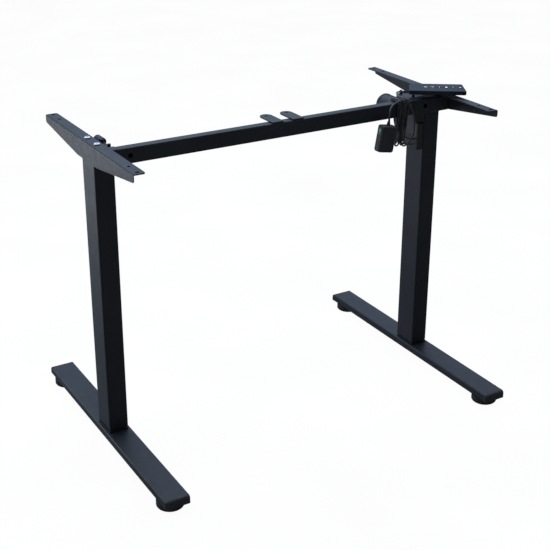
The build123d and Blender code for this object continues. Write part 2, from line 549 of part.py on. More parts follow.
def corner_radii(points):
    """As large an arc at each corner as its two runs allow."""
    radii = []
    for a, b, c in zip(points, points[1:], points[2:]):
        before, after = Vector(*b) - Vector(*a), Vector(*c) - Vector(*b)
        turn = math.radians(before.get_angle(after))
        radii.append(0.45 * min(before.length, after.length) / math.tan(turn / 2))
    return radii


def cable(name, points, r):
    """A tube of straight runs and tangent arcs along the points."""
    radii = corner_radii(points)
    path = FilletPolyline(*points, radius=radii)
    start = Plane(origin=points[0], z_dir=path % 0)
    tube = sweep(start * Circle(r), path=path)
    exact = math.pi * r * r * path.length
    print(f"{name}: length {path.length:.0f} volume {tube.volume / exact:.4f} of exact, radii",
          " ".join(f"{radius:.0f}" for radius in radii))
    return tube


def hank_slice(x0, x1, y0, y1, z0, z1):
    """Part of a hank between two heights, leaning with it."""
    heights = sorted({z0, z1, *(z for z in (LEAN_FROM, BEAM_TOP) if z0 < z < z1)})
    slope = HANK_LEAN / (BEAM_TOP - LEAN_FROM)
    shifts = [slope * (min(max(z, LEAN_FROM), BEAM_TOP) - LEAN_FROM) for z in heights]
    left = [(x0 + dx, z) for dx, z in zip(shifts, heights)]
    right = [(x1 + dx, z) for dx, z in zip(shifts, heights)]
    outline = Polyline(*left, *right[::-1], close=True)
    return Pos(0, y1, 0) * extrude(Plane.XZ * make_face(outline), amount=y1 - y0)


def hank(x0, x1):
    """Outline of a hank of cable hung over the crossbeam, front and back."""
    face, rear = BEAM_FRONT - HANK_GAP, BEAM_BACK + HANK_GAP
    body = hank_slice(x0, x1, HANK_FRONT, face, HANK_BOTTOM, HANK_BACK_BOTTOM)
    body += hank_slice(x0, x1, HANK_NECK, face, HANK_BACK_BOTTOM, HANK_TOP)
    body += hank_slice(x0, x1, HANK_NECK, HANK_BACK, BEAM_TOP + HANK_GAP, HANK_TOP)
    return body + hank_slice(x0, x1, rear, HANK_BACK, HANK_BACK_BOTTOM, HANK_TOP)


# ---------------------------------------------------------------- writing
os.makedirs("parts", exist_ok=True)

for side, s in SIDES.items():
    write(f"foot_{side}", foot(s))
    write(f"foot_caps_{side}", foot_cap(s, -1), foot_cap(s, 1))
    write(f"foot_bolts_{side}", *foot_bolts(s))
    write(f"base_plate_{side}", base_plate(s))
    write(f"inner_tube_{side}", inner_tube(s))
    write(f"lift_nut_{side}", lift_nut(s))
    write(f"inner_guide_{side}", inner_guide(s))
    write(f"glide_{side}_front", glide(s, -1))
    write(f"glide_{side}_back", glide(s, 1))
    write(f"outer_tube_{side}", outer_tube(s))
    write(f"mouth_guide_{side}", mouth_guide(s))
    write(f"side_bracket_{side}", side_bracket(s))
    write(f"bracket_bolts_{side}", *bracket_bolts(s))
    write(f"beam_{side}", beam(s))
    write(f"beam_socket_{side}", beam_socket(s))
    write(f"beam_tab_{side}", beam_tab(s))
    write(f"gearbox_housing_{side}", gearbox_housing(s))
    write(f"gearbox_lid_{side}", gearbox_lid(s))
    write(f"lead_screw_{side}", *lead_screw(s))

write("beam_sleeve", beam_sleeve())
write("drive_tube", *drive_tube())
write("drive_rod", *drive_rod())
write("worm_shaft", worm_shaft())
write("motor_can", motor_can())
write("motor_end_cap", motor_end_cap())
write("control_box", control_box())
write("power_brick", power_brick())
write("handset_base", handset_base())
write("handset_top", handset_top())
for key, (x, y) in zip(("up", "down", "memory_1", "memory_2", "memory_3", "set"), key_places()):
    write(f"key_{key}", handset_key(x, y))
handset_free = cable("handset_lead", HANDSET_ROUTE, LEAD_R)
write("handset_lead", handset_free, cable("handset_tail", HANDSET_TAIL, LEAD_R))
write("handset_hank", hank(286.5, 300))
brick_free = cable("brick_lead", BRICK_ROUTE, LEAD_R)
write("brick_lead", brick_free, cable("brick_tail", BRICK_TAIL, LEAD_R))
write("brick_hank", hank(272.5, 285.5))
write("motor_lead", cable("motor_lead", MOTOR_ROUTE, MOTOR_LEAD_R))
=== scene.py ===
import json
import math

import bmesh
import bpy
from mathutils import Matrix, Vector


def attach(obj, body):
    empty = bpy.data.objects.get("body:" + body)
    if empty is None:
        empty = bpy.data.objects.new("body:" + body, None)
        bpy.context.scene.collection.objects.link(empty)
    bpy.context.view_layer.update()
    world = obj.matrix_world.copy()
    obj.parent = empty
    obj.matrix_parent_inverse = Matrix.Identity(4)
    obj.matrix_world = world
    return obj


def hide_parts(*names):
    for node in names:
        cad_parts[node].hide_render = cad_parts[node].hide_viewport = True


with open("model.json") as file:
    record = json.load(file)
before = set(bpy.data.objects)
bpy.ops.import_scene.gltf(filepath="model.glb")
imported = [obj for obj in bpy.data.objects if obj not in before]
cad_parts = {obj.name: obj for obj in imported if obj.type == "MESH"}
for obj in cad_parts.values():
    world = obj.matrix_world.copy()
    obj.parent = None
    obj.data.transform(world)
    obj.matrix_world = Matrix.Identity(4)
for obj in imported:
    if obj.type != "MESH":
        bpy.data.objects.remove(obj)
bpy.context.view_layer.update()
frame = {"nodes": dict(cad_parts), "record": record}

# Electric standing desk frame, without its desktop. Metres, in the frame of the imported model.
# +X is towards the right leg, +Y towards the back and +Z up.

NODES = frame["nodes"]
SEAM = Vector((-0.015, 0, -0.015))   # routes and places below are measured from the crossbeam's seam


def at_seam(point):
    return Vector(point) + SEAM


# ------------------------------------------------------------------ camera
CAMERA_PLACE = (-1.1979, -1.9973, 1.3437)
CAMERA_AZIMUTH, CAMERA_ELEVATION, CAMERA_ROLL = -30.695, 22.128, 0.185
LENS, SENSOR = 73.06, 36.0
SHIFT_X, SHIFT_Y = 0.0008, -0.0725


def make_camera():
    a, e, r = (math.radians(v) for v in (CAMERA_AZIMUTH, CAMERA_ELEVATION, CAMERA_ROLL))
    back = Vector((math.sin(a) * math.cos(e), -math.cos(a) * math.cos(e), math.sin(e)))
    level = Vector((math.cos(a), math.sin(a), 0))
    upward = back.cross(level)
    right = math.cos(r) * level + math.sin(r) * upward
    up = math.cos(r) * upward - math.sin(r) * level
    data = bpy.data.cameras.new("camera")
    data.lens, data.sensor_width = LENS, SENSOR
    data.shift_x, data.shift_y = SHIFT_X, SHIFT_Y
    data.clip_start, data.clip_end = 0.05, 100
    camera = bpy.data.objects.new("camera", data)
    bpy.context.scene.collection.objects.link(camera)
    axes = Matrix((right, up, back)).transposed().to_4x4()
    camera.matrix_world = Matrix.Translation(CAMERA_PLACE) @ axes
    bpy.context.scene.camera = camera


make_camera()


# ------------------------------------------------------------------ cords
LEAD_D, MOTOR_LEAD_D = 0.0036, 0.0050

HANDSET_ROUTE = [
    (0.3289, -0.0213, 0.7066), (0.3215, -0.0176, 0.7068), (0.3130, -0.0195, 0.7073),
    (0.3055, -0.0270, 0.7079), (0.2995, -0.0370, 0.7084), (0.2940, -0.0480, 0.7088),
    (0.2905, -0.0600, 0.7088), (0.2935, -0.0720, 0.7080), (0.2995, -0.0805, 0.7010),
    (0.3070, -0.0830, 0.6880), (0.3135, -0.0830, 0.6700), (0.3175, -0.0825, 0.6500),
    (0.3190, -0.0815, 0.6300), (0.3160, -0.0790, 0.6120), (0.3080, -0.0750, 0.6010),
    (0.2955, -0.0735, 0.5955)]
HANDSET_TAIL = [
    (0.3030, -0.0320, 0.6600), (0.3060, -0.0305, 0.6380), (0.3180, -0.0270, 0.6150),
    (0.3380, -0.0235, 0.5980), (0.3570, -0.0200, 0.5895), (0.3720, -0.0175, 0.5870)]
BRICK_ROUTE = [
    (0.24119, -0.0890, 0.66642), (0.2434, -0.0875, 0.6785), (0.2485, -0.0820, 0.6900),
    (0.2590, -0.0755, 0.6970), (0.2730, -0.0710, 0.7005), (0.2890, -0.0680, 0.7020)]
BRICK_TAIL = [
    (0.2850, -0.0320, 0.6600), (0.2875, -0.0295, 0.6360), (0.3000, -0.0235, 0.6090),
    (0.3220, -0.0160, 0.5900), (0.3480, -0.0100, 0.5765), (0.3720, -0.0070, 0.5710)]
MOTOR_ROUTE = [
    (0.3720, 0.0660, 0.6240), (0.3725, 0.0645, 0.6060), (0.3740, 0.0550, 0.5905),
    (0.3755, 0.0395, 0.5820), (0.3765, 0.0200, 0.5790)]

# Each hank hangs over the crossbeam. Strands alternate between its left side, running from
# front to back, and its right side, running from back to front.
STRANDS = 7
STRAND_PITCH = 0.0037         # centre to centre of neighbouring strands
TIED_SHARE = 0.95             # of the pitch, across the tied strands
TIE_Z, BEAM_TOP_Z = 0.650, 0.6950
FRONT_Y, BACK_Y, TOP_Z = -0.0646, -0.0370, 0.6982   # the strands that lie against the beam
TIE_PLACES = {1: (0, 1), 3: (1, 1), 5: (0, 0), 7: (1, 0), 2: (3, 1), 4: (3, 0), 6: (2, 0)}  # column, layer
# Y and lowest Z of each loop; the first at the front is where the lead comes in.
FRONT_LOOPS = [(-0.0740, 0.5955), (-0.0702, 0.5995), (-0.0668, 0.6065), (-0.0638, 0.6030)]
BACK_LOOPS = [(-0.0372, 0.6560), (-0.0338, 0.6590), (-0.0270, 0.6650)]
TAIL_Y, TAIL_Z = -0.0304, 0.6720     # the last strand leaves the hank behind the beam
LEAN, LEAN_FROM = 0.0130, 0.600      # the hanks lean sideways from this height up to the beam's top
HANDSET_HANK, BRICK_HANK = (0.29325, 0.0050), (0.2790, 0.0047)   # X of the middle, half of the loops' eye


def strand_x(n, hank):
    """X of a strand at the tie and at the open eye of the hank's loops."""
    column, _ = TIE_PLACES[n]
    middle, eye = hank
    tied = middle + (column - 1.5) * STRAND_PITCH * TIED_SHARE
    return tied, middle + (eye if n % 2 == 0 else -eye)


def hank_phase(hank):
    """Starts each hank's strands at another point of their wander."""
    return 40 * hank[0]


def front_strand(n, hank):
    """Points of the front part of a strand, from the loop at the bottom up to the beam's top edge."""
    tied, eye = strand_x(n, hank)
    _, layer = TIE_PLACES[n]
    y, z = FRONT_Y - layer * STRAND_PITCH, TOP_Z + layer * STRAND_PITCH
    lane, bottom = FRONT_LOOPS[n // 2]
    wander = 0.0007 * math.sin(2.3 * n + hank_phase(hank))
    return [
        (eye, lane, bottom + 0.0100),
        (eye + wander, lane, bottom + 0.0240),
        ((2 * eye + tied) / 3, (lane + y) / 2, TIE_Z - 0.0180),
        (tied, y, TIE_Z),
        (tied + wander, y, TIE_Z + 0.0170),
        (tied + 1.6 * wander, y, 0.6820),
        (tied, y, z - 0.0010),
        (tied, FRONT_Y + 0.0075, z)]


def back_strand(n, hank):
    """Points of the back part of a strand, from the beam's top edge down to its loop or the tail."""
    tied, eye = strand_x(n, hank)
    _, layer = TIE_PLACES[n]
    y, z = BACK_Y + layer * STRAND_PITCH, TOP_Z + layer * STRAND_PITCH
    wander = 0.0008 * math.sin(1.7 * n + hank_phase(hank))
    end, lane, low = tied, TAIL_Y, TAIL_Z
    if n < STRANDS:
        lane, bottom = BACK_LOOPS[(n - 1) // 2]
        end, low = eye, bottom + 0.0100
    return [
        (tied + wander, BACK_Y - 0.0070, z),
        (tied, y, z - 0.0010),
        (tied + wander, (y + lane) / 2, 0.6850),
        (end, lane, low)]


def lean_at(z):
    return LEAN * min(max((z - LEAN_FROM) / (BEAM_TOP_Z - LEAN_FROM), 0), 1)


def hank_route(hank, enters_at_top):
    """A hank's strands, folded into each other, as points of the cord's own spline."""
    points = []
    for n in range(1, STRANDS + 1):
        front, back = front_strand(n, hank), back_strand(n, hank)
        if n % 2 == 0:
            points += back[::-1] + front[::-1]
        elif n == 1 and enters_at_top:
            points += back
        else:
            points += front + back
        if n < STRANDS:
            lane, z = (BACK_LOOPS if n % 2 else FRONT_LOOPS)[n // 2]
            points += [(strand_x(k, hank)[1], lane, z) for k in (n, n + 1)]
    return [(x + lean_at(z), y, z) for x, y, z in points]


def cord(name, points, diameter):
    """A round cord on one smooth spline. Its points' radius carries its size, so its box is right."""
    curve = bpy.data.curves.new(name, "CURVE")
    curve.dimensions = "3D"
    curve.bevel_depth, curve.bevel_resolution = 1.0, 4
    curve.resolution_u = 6
    curve.use_fill_caps = True
    spline = curve.splines.new("NURBS")
    spline.points.add(len(points) - 1)
    for place, point in zip(spline.points, points):
        place.co = (*at_seam(point), 1)
        place.radius = diameter / 2
    spline.order_u = 3
    spline.use_endpoint_u = True
    spline.use_smooth = True
    piece = bpy.data.objects.new(name, curve)
    bpy.context.scene.collection.objects.link(piece)
    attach(piece, "right_leg_upper")
    return piece


handset_points = HANDSET_ROUTE + hank_route(HANDSET_HANK, False) + HANDSET_TAIL
brick_points = BRICK_ROUTE + hank_route(BRICK_HANK, True) + BRICK_TAIL
handset_cord = cord("handset_cable", handset_points, LEAD_D)
brick_cord = cord("supply_cable", brick_points, LEAD_D)
motor_cord = cord("motor_cable", MOTOR_ROUTE, MOTOR_LEAD_D)
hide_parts("handset_lead", "handset_hank")
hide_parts("brick_lead", "brick_hank")
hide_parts("motor_lead")


# ------------------------------------------------------------------ materials
class Shader:
    """A Principled material and short ways to add nodes to it."""

    def __init__(self, name, roughness=0.5, metallic=0.0, specular=0.5):
        self.material = bpy.data.materials.new(name)
        self.material.use_nodes = True
        self.tree = self.material.node_tree
        self.bsdf = next(n for n in self.tree.nodes if n.type == "BSDF_PRINCIPLED")
        self.bsdf.inputs["Roughness"].default_value = roughness
        self.bsdf.inputs["Metallic"].default_value = metallic
        self.bsdf.inputs["Specular IOR Level"].default_value = specular
        self.place = self.tree.nodes.new("ShaderNodeTexCoord").outputs["Object"]

    def link(self, a, b):
        self.tree.links.new(a, b)

    def node(self, kind, **values):
        made = self.tree.nodes.new(kind)
        for key, value in values.items():
            setattr(made, key, value)
        return made

    def stretched(self, scale):
        mapping = self.node("ShaderNodeMapping")
        mapping.inputs["Scale"].default_value = scale
        self.link(self.place, mapping.inputs["Vector"])
        return mapping.outputs["Vector"]

    def noise(self, scale, detail=2.0, roughness=0.5, vector=None):
        made = self.node("ShaderNodeTexNoise")
        made.inputs["Scale"].default_value = scale
        made.inputs["Detail"].default_value = detail
        made.inputs["Roughness"].default_value = roughness
        self.link(vector or self.place, made.inputs["Vector"])
        return made.outputs["Fac"]

    def cells(self, scale):
        made = self.node("ShaderNodeTexVoronoi", feature="F1")
        made.inputs["Scale"].default_value = scale
        self.link(self.place, made.inputs["Vector"])
        return made.outputs["Distance"]

    def wave(self, scale, axis):
        made = self.node("ShaderNodeTexWave", bands_direction=axis)
        made.inputs["Scale"].default_value = scale
        self.link(self.place, made.inputs["Vector"])
        return made.outputs["Fac"]

    def span(self, value, low, high, from_low=0.0, from_high=1.0):
        made = self.node("ShaderNodeMapRange")
        limits = {"From Min": from_low, "From Max": from_high, "To Min": low, "To Max": high}
        for key, number in limits.items():
            made.inputs[key].default_value = number
        self.link(value, made.inputs["Value"])
        return made.outputs["Result"]

    def sum(self, a, b):
        made = self.node("ShaderNodeMath", operation="ADD")
        self.link(a, made.inputs[0])
        self.link(b, made.inputs[1])
        return made.outputs[0]

    def ramp(self, value, stops):
        made = self.node("ShaderNodeValToRGB")
        ramp = made.color_ramp
        while len(ramp.elements) < len(stops):
            ramp.elements.new(0.5)
        for element, (at, color) in zip(ramp.elements, stops):
            element.position = at
            element.color = (*color, 1)
        self.link(value, made.inputs["Fac"])
        return made.outputs["Color"]

    def mix(self, share, a, b):
        """a and b are colours or sockets."""
        made = self.node("ShaderNodeMix", data_type="RGBA")
        self.link(share, made.inputs[0])
        for socket, value in ((made.inputs[6], a), (made.inputs[7], b)):
            if isinstance(value, tuple):
                socket.default_value = (*value, 1)
            else:
                self.link(value, socket)
        return made.outputs[2]

    def color(self, socket):
        self.link(socket, self.bsdf.inputs["Base Color"])

    def rough(self, socket):
        self.link(socket, self.bsdf.inputs["Roughness"])

    def bump(self, height, distance, strength=1.0):
        made = self.node("ShaderNodeBump")
        made.inputs["Distance"].default_value = distance
        made.inputs["Strength"].default_value = strength
        self.link(height, made.inputs["Height"])
        self.link(made.outputs["Normal"], self.bsdf.inputs["Normal"])


def powder_coat(name, dark, light, specular=0.35):
    """Satin powder coat: a fine orange peel, a slow change of tone, dust and faint rub marks."""
    s = Shader(name, specular=specular)
    tone = s.noise(7.0, 4.0)
    body = s.ramp(tone, [(0.30, dark), (0.70, light)])
    dust = s.span(s.noise(420.0, 3.0, 0.7), 0.0, 0.55, 0.60, 0.80)
    s.color(s.mix(dust, body, tuple(2.2 * c for c in light)))
    rubs = s.noise(26.0, 5.0, 0.65, s.stretched((1.0, 0.22, 1.0)))
    s.rough(s.span(s.sum(s.noise(60.0, 2.0), rubs), 0.45, 0.54, 0.7, 1.3))
    peel = s.sum(s.noise(950.0, 2.0), s.span(s.cells(1500.0), 0.0, 0.6))
    s.bump(peel, 0.00010, 0.55)
    return s.material


def inner_paint():
    """Sliding tube: smoother paint with upright wipe marks of grease."""
    s = Shader("inner_tube_paint", specular=0.5)
    streaks = s.noise(90.0, 4.0, 0.6, s.stretched((1.0, 1.0, 0.04)))
    s.color(s.ramp(streaks, [(0.35, (0.006, 0.0065, 0.008)), (0.75, (0.016, 0.016, 0.017))]))
    s.rough(s.span(streaks, 0.18, 0.42, 0.3, 0.7))
    s.bump(s.sum(streaks, s.noise(800.0)), 0.00006, 0.5)
    return s.material


def moulding(name, dark, light, grain, roughness=(0.50, 0.66), specular=0.4):
    """Moulded plastic with a spark-eroded grain and a slow change of tone."""
    s = Shader(name, specular=specular)
    s.color(s.ramp(s.noise(22.0, 3.0), [(0.3, dark), (0.7, light)]))
    s.rough(s.span(s.noise(160.0, 3.0), *roughness, 0.3, 0.7))
    pits = s.sum(s.cells(grain), s.noise(0.6 * grain, 2.0))
    s.bump(pits, 0.00009, 0.6)
    return s.material


def metal(name, dark, light, roughness, grain=(500.0, 500.0, 500.0)):
    """Bare or plated metal with fine lay marks."""
    s = Shader(name, metallic=1.0)
    lay = s.noise(1.0, 4.0, 0.6, s.stretched(grain))
    s.color(s.ramp(s.noise(140.0, 3.0), [(0.3, dark), (0.7, light)]))
    s.rough(s.span(lay, roughness - 0.08, roughness + 0.10, 0.3, 0.7))
    s.bump(lay, 0.00003, 0.5)
    return s.material


def threaded_steel():
    """Turned steel with the ridges of a screw thread along Z."""
    s = Shader("bare_steel", metallic=1.0)
    s.color(s.ramp(s.noise(120.0, 3.0), [(0.3, (0.40, 0.41, 0.43)), (0.7, (0.58, 0.59, 0.61))]))
    s.rough(s.span(s.noise(300.0), 0.22, 0.38, 0.3, 0.7))
    s.bump(s.wave(40.0, "Z"), 0.00060, 0.8)
    return s.material


def cast_metal():
    """Painted die casting, a little coarser than the sheet metal."""
    s = Shader("cast_housing", specular=0.4)
    s.color(s.ramp(s.noise(30.0, 4.0), [(0.3, (0.007, 0.0075, 0.009)), (0.7, (0.014, 0.015, 0.018))]))
    s.rough(s.span(s.noise(120.0, 3.0), 0.42, 0.62, 0.3, 0.7))
    s.bump(s.sum(s.noise(480.0, 4.0, 0.6), s.cells(700.0)), 0.00016, 0.7)
    return s.material


def cable_jacket():
    """Soft black jacket: a satin skin with faint creases across and dust along it."""
    s = Shader("cable_jacket", specular=0.5)
    s.bsdf.inputs["Sheen Weight"].default_value = 0.12
    s.bsdf.inputs["Sheen Roughness"].default_value = 0.45
    s.color(s.ramp(s.noise(70.0, 4.0), [(0.3, (0.006, 0.006, 0.008)), (0.72, (0.017, 0.018, 0.021))]))
    s.rough(s.span(s.noise(240.0, 3.0), 0.34, 0.52, 0.3, 0.7))
    s.bump(s.sum(s.noise(900.0, 3.0), s.noise(180.0, 2.0)), 0.00008, 0.5)
    return s.material


def rubber():
    """Moulded rubber of the glides, dusty where it meets the floor."""
    s = Shader("glide_rubber", specular=0.3)
    s.color(s.ramp(s.noise(45.0, 4.0), [(0.3, (0.005, 0.0055, 0.007)), (0.75, (0.013, 0.014, 0.017))]))
    s.rough(s.span(s.noise(200.0, 3.0), 0.55, 0.78, 0.3, 0.7))
    s.bump(s.sum(s.noise(1200.0, 2.0), s.cells(420.0)), 0.00010, 0.5)
    return s.material


def printed(name, color, glow):
    """Ink of the key symbols or the supply's lamp, with a slight grain. It glows a little: on the lamp that
    is its own light, on the ink it is painted brightness.
    """
    s = Shader(name, roughness=0.45)
    ink = s.ramp(s.noise(2500.0, 2.0), [(0.3, tuple(0.86 * c for c in color)), (0.7, color)])
    s.color(ink)
    # The emission is painted brightness on the symbols' ink and the lamp's own light on the lamp.
    s.link(ink, s.bsdf.inputs["Emission Color"])
    s.bsdf.inputs["Emission Strength"].default_value = glow
    s.bump(s.noise(1800.0), 0.00003, 0.4)
    return s.material


COAT_DARK, COAT_LIGHT = (0.0052, 0.0068, 0.0100), (0.0080, 0.0102, 0.0145)
MATERIALS = {
    "black_powder_coat": powder_coat("black_powder_coat", COAT_DARK, COAT_LIGHT),
    "inner_tube_paint": inner_paint(),
    "black_moulding": moulding("black_moulding", (0.008, 0.009, 0.011), (0.014, 0.015, 0.019), 1300.0),
    "guide_plastic": moulding(
        "guide_plastic", (0.012, 0.012, 0.013), (0.020, 0.020, 0.021), 2200.0, (0.3, 0.42)),
    "zinc_bolt": metal("zinc_bolt", (0.62, 0.68, 0.76), (0.82, 0.87, 0.93), 0.26, (900.0, 900.0, 200.0)),
    "black_bolt": metal("black_bolt", (0.030, 0.030, 0.034), (0.055, 0.056, 0.060), 0.42),
    "bare_steel": threaded_steel(),
    "brass_nut": metal("brass_nut", (0.55, 0.40, 0.16), (0.70, 0.54, 0.25), 0.30),
    "cast_housing": cast_metal(),
    "motor_paint": moulding(
        "motor_paint", (0.007, 0.0075, 0.009), (0.013, 0.0135, 0.016), 900.0, (0.34, 0.48)),
    "brick_shell": moulding("brick_shell", (0.007, 0.0075, 0.009), (0.012, 0.013, 0.016), 1500.0),
    "handset_shell": moulding(
        "handset_shell", (0.006, 0.009, 0.014), (0.009, 0.013, 0.019), 2400.0, (0.40, 0.54), specular=0.13),
    "key_cap": moulding(
        "key_cap", (0.006, 0.009, 0.013), (0.009, 0.012, 0.018), 2600.0, (0.40, 0.52), specular=0.11),
    "cable_jacket": cable_jacket(),
    "glide_rubber": rubber(),
}


def paint(piece, material):
    piece.data.materials.clear()
    piece.data.materials.append(material)


# Steel parts that are not threaded, though their slot is the one of the lead screws.
PLAIN_STEEL = metal("plain_steel", (0.36, 0.37, 0.39), (0.50, 0.51, 0.53), 0.34, (60.0, 700.0, 700.0))
PLAIN_NODES = ("beam_sleeve", "drive_tube", "drive_rod", "worm_shaft")
for row in frame["record"]["subparts"]:
    plain = row["node"] in PLAIN_NODES
    paint(NODES[row["node"]], PLAIN_STEEL if plain else MATERIALS[row["material_slot"]])
for piece in (handset_cord, brick_cord, motor_cord):
    paint(piece, MATERIALS["cable_jacket"])


# ------------------------------------------------------------------ pieces in mesh code
def mesh_piece(name, bm, material, body):
    """A flat-shaded piece that moves with a body. It uses up the bmesh."""
    mesh = bpy.data.meshes.new(name)
    bmesh.ops.recalc_face_normals(bm, faces=bm.faces)
    bm.to_mesh(mesh)
    bm.free()
    piece = bpy.data.objects.new(name, mesh)
    bpy.context.scene.collection.objects.link(piece)
    piece.data.materials.append(material)
    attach(piece, body)
    return piece


def bevelled(piece, width):
    modifier = piece.modifiers.new("edges", "BEVEL")
    modifier.width, modifier.segments = width, 2
    modifier.limit_method = "ANGLE"
    modifier.harden_normals = True
    return piece


def slab(bm, outline, place, low, high):
    """A flat plate: an outline in its own X and Y between two heights, set at a place."""
    rings = [[bm.verts.new(place @ Vector((x, y, z))) for x, y in outline] for z in (low, high)]
    bm.faces.new(rings[0][::-1])
    bm.faces.new(rings[1])
    count = len(outline)
    for i in range(count):
        j = (i + 1) % count
        bm.faces.new((rings[0][i], rings[0][j], rings[1][j], rings[1][i]))


def stroke(a, b, width):
    """Outline of a straight pen stroke between two points."""
    along = (Vector(b) - Vector(a)).normalized()
    across = Vector((-along.y, along.x)) * width / 2
    tip = along * width / 2
    start, end = Vector(a) - tip, Vector(b) + tip
    return [tuple(corner) for corner in (start - across, end - across, end + across, start + across)]


# ------------------------------------------------------------------ key symbols
HANDSET_CENTRE, HANDSET_TURN = at_seam((0.3986, -0.0538, 0.0)), math.radians(-34.0)
KEY_PITCH, KEY_FIRST, KEY_ROW, KEY_TOP = 0.0156, -0.0253, 0.0015, 0.7153
SYMBOL_H, SYMBOL_SUNK = 0.00012, 0.00002     # above and below the key's top
STROKE_WIDTH, SQUARE_WIDTH = 0.0011, 0.0042
HANDSET_PLACE = Matrix.Translation(HANDSET_CENTRE) @ Matrix.Rotation(HANDSET_TURN, 4, "Z")

# Pen strokes on each key, from the left to the right key. The square is one very wide short stroke.
SQUARE_KEY = "key_memory_2"
SYMBOLS = {
    "key_up": [((-0.0034, -0.0022), (0.0, 0.0026)), ((0.0, 0.0026), (0.0034, -0.0022)),
               ((0.0034, -0.0022), (-0.0034, -0.0022))],
    "key_down": [((-0.0036, 0.0024), (0.0, -0.0022)), ((0.0, -0.0022), (0.0036, 0.0024))],
    "key_memory_1": [((-0.0010, 0.0012), (0.0, 0.0020)), ((0.0, 0.0020), (0.0, -0.0022))],
    SQUARE_KEY: [((-0.0001, 0.0), (0.0001, 0.0))],
    "key_memory_3": [((-0.0013, 0.0021), (0.0013, 0.0021)), ((0.0013, 0.0021), (0.0013, -0.0021)),
                     ((-0.0004, 0.0), (0.0013, 0.0)), ((0.0013, -0.0021), (-0.0013, -0.0021))],
    "key_set": [((0.0010, -0.0022), (0.0010, 0.0022)), ((0.0010, 0.0022), (-0.0022, -0.0006)),
                ((-0.0022, -0.0006), (0.0024, -0.0006))],
}


def key_symbols():
    # The symbols glow with painted brightness, strongest on the square key and weakest on the third memory
    # key.
    ink = printed("symbol_ink", (0.75, 0.80, 0.88), 0.45)
    dim = printed("symbol_ink_dim", (0.40, 0.45, 0.52), 0.22)
    bright = printed("symbol_ink_bright", (0.95, 0.97, 1.0), 1.1)
    inks = {SQUARE_KEY: bright, "key_memory_3": dim}
    for n, (key, strokes) in enumerate(SYMBOLS.items()):
        bm = bmesh.new()
        centre = Matrix.Translation((KEY_FIRST + n * KEY_PITCH, KEY_ROW, KEY_TOP))
        width = SQUARE_WIDTH if key == SQUARE_KEY else STROKE_WIDTH
        for a, b in strokes:
            slab(bm, stroke(a, b, width), HANDSET_PLACE @ centre, -SYMBOL_SUNK, SYMBOL_H)
        mesh_piece(f"symbol_{key}", bm, inks.get(key, ink), key)


key_symbols()


# ------------------------------------------------------------------ ties, lamp, label and screws
TIE_H, TIE_THICK, TIE_CORNER = 0.0030, 0.0006, 0.0017
TWISTS, TWIST_ANGLE = 5, math.radians(50)
HANDSET_TIE_Z, SUPPLY_TIE_Z = 0.6440, 0.6490
TIE = moulding("tie_plastic", (0.006, 0.006, 0.007), (0.012, 0.012, 0.014), 1800.0, (0.3, 0.42))

SUPPLY_CENTRE, SUPPLY_LEAN = (0.2345, -0.0890, 0.6285), math.radians(10)
LAMP_WINDOW = (-0.0205, -0.0010, 0.0165)       # from the supply's centre, on its left face
LAMP_IN_WINDOW = (0, 0.002, 0.0001)
WINDOW_SIZE = (0.0060, 0.0130, 0.0024, 0.00015)      # width, length, corner and height of a plate
LAMP_SIZE = (0.0024, 0.0050, 0.0011, 0.00015)
LABEL_CENTRE, LABEL_SIZE = (0.3690, -0.0040, 0.6110), (0.0440, 0.0270, 0.002, 0.0002)

MOTOR_X, MOTOR_BACK, MOTOR_Z = 0.3700, 0.1090, 0.6440
CAP_SCREWS, CAP_SCREW_CIRCLE, CAP_SCREW_R, CAP_SCREW_H = 3, 0.0130, 0.0026, 0.0008
WEB_X, WEB_SCREW_Y, WEB_SCREW_Z, WEB_SCREW_R, WEB_SCREW_H = 0.4280, 0.022, 0.6720, 0.0032, 0.0012


def rounded(half_x, half_y, corner, steps):
    """A rounded rectangle: at each step its corner's centre and the direction outwards."""
    outline = []
    for quarter, (sx, sy) in enumerate(((1, 1), (-1, 1), (-1, -1), (1, -1))):
        for step in range(steps):
            a = math.radians(90 * quarter + 90 / (steps - 1) * step)
            outline.append((sx * (half_x - corner), sy * (half_y - corner), math.cos(a), math.sin(a)))
    return outline


def band(bm, centre, half_x, half_y, corner, height, thick):
    """A flat band round a rounded rectangle that lies across Z."""
    outline = rounded(half_x, half_y, corner, 5)
    rings = []
    for out, z in ((0, 0), (thick, 0), (thick, height), (0, height)):
        r = corner + out
        rings.append([bm.verts.new(centre + Vector((x + r * c, y + r * d, z))) for x, y, c, d in outline])
    count = len(outline)
    for k in range(4):
        a, b = rings[k], rings[(k + 1) % 4]
        for i in range(count):
            j = (i + 1) % count
            bm.faces.new((a[i], a[j], b[j], b[i]))


def hank_tie(name, hank, z):
    """A twist tie: a flat band round the strands, its ends twisted together in front."""
    bm = bmesh.new()
    centre = at_seam((hank[0] + lean_at(z), FRONT_Y - STRAND_PITCH / 2, z))
    half_x, half_y = 1.5 * TIED_SHARE * STRAND_PITCH + LEAD_D / 2, STRAND_PITCH / 2 + LEAD_D / 2
    band(bm, centre, half_x, half_y, TIE_CORNER, TIE_H, TIE_THICK)
    front = centre + Vector((0, -half_y - 2 * TIE_THICK, TIE_H / 2))
    link_size = Matrix.Diagonal((0.0016, 0.0007, 0.0022, 1))
    for sign in (-1, 1):
        for step in range(TWISTS):
            turn = Matrix.Rotation(TWIST_ANGLE * step * sign, 4, "X")
            at = Matrix.Translation(front + Vector((sign * (0.0012 + 0.0013 * step), -0.0002 * step, 0)))
            bmesh.ops.create_cube(bm, size=1, matrix=at @ turn @ link_size)
    return bevelled(mesh_piece(name, bm, TIE, "right_leg_upper"), 0.0002)


def disc(bm, place, radius, height):
    """A flat disc or stud standing on the place's own Z."""
    angles = [2 * math.pi * k / 24 for k in range(24)]
    slab(bm, [(radius * math.cos(a), radius * math.sin(a)) for a in angles], place, 0.0, height)


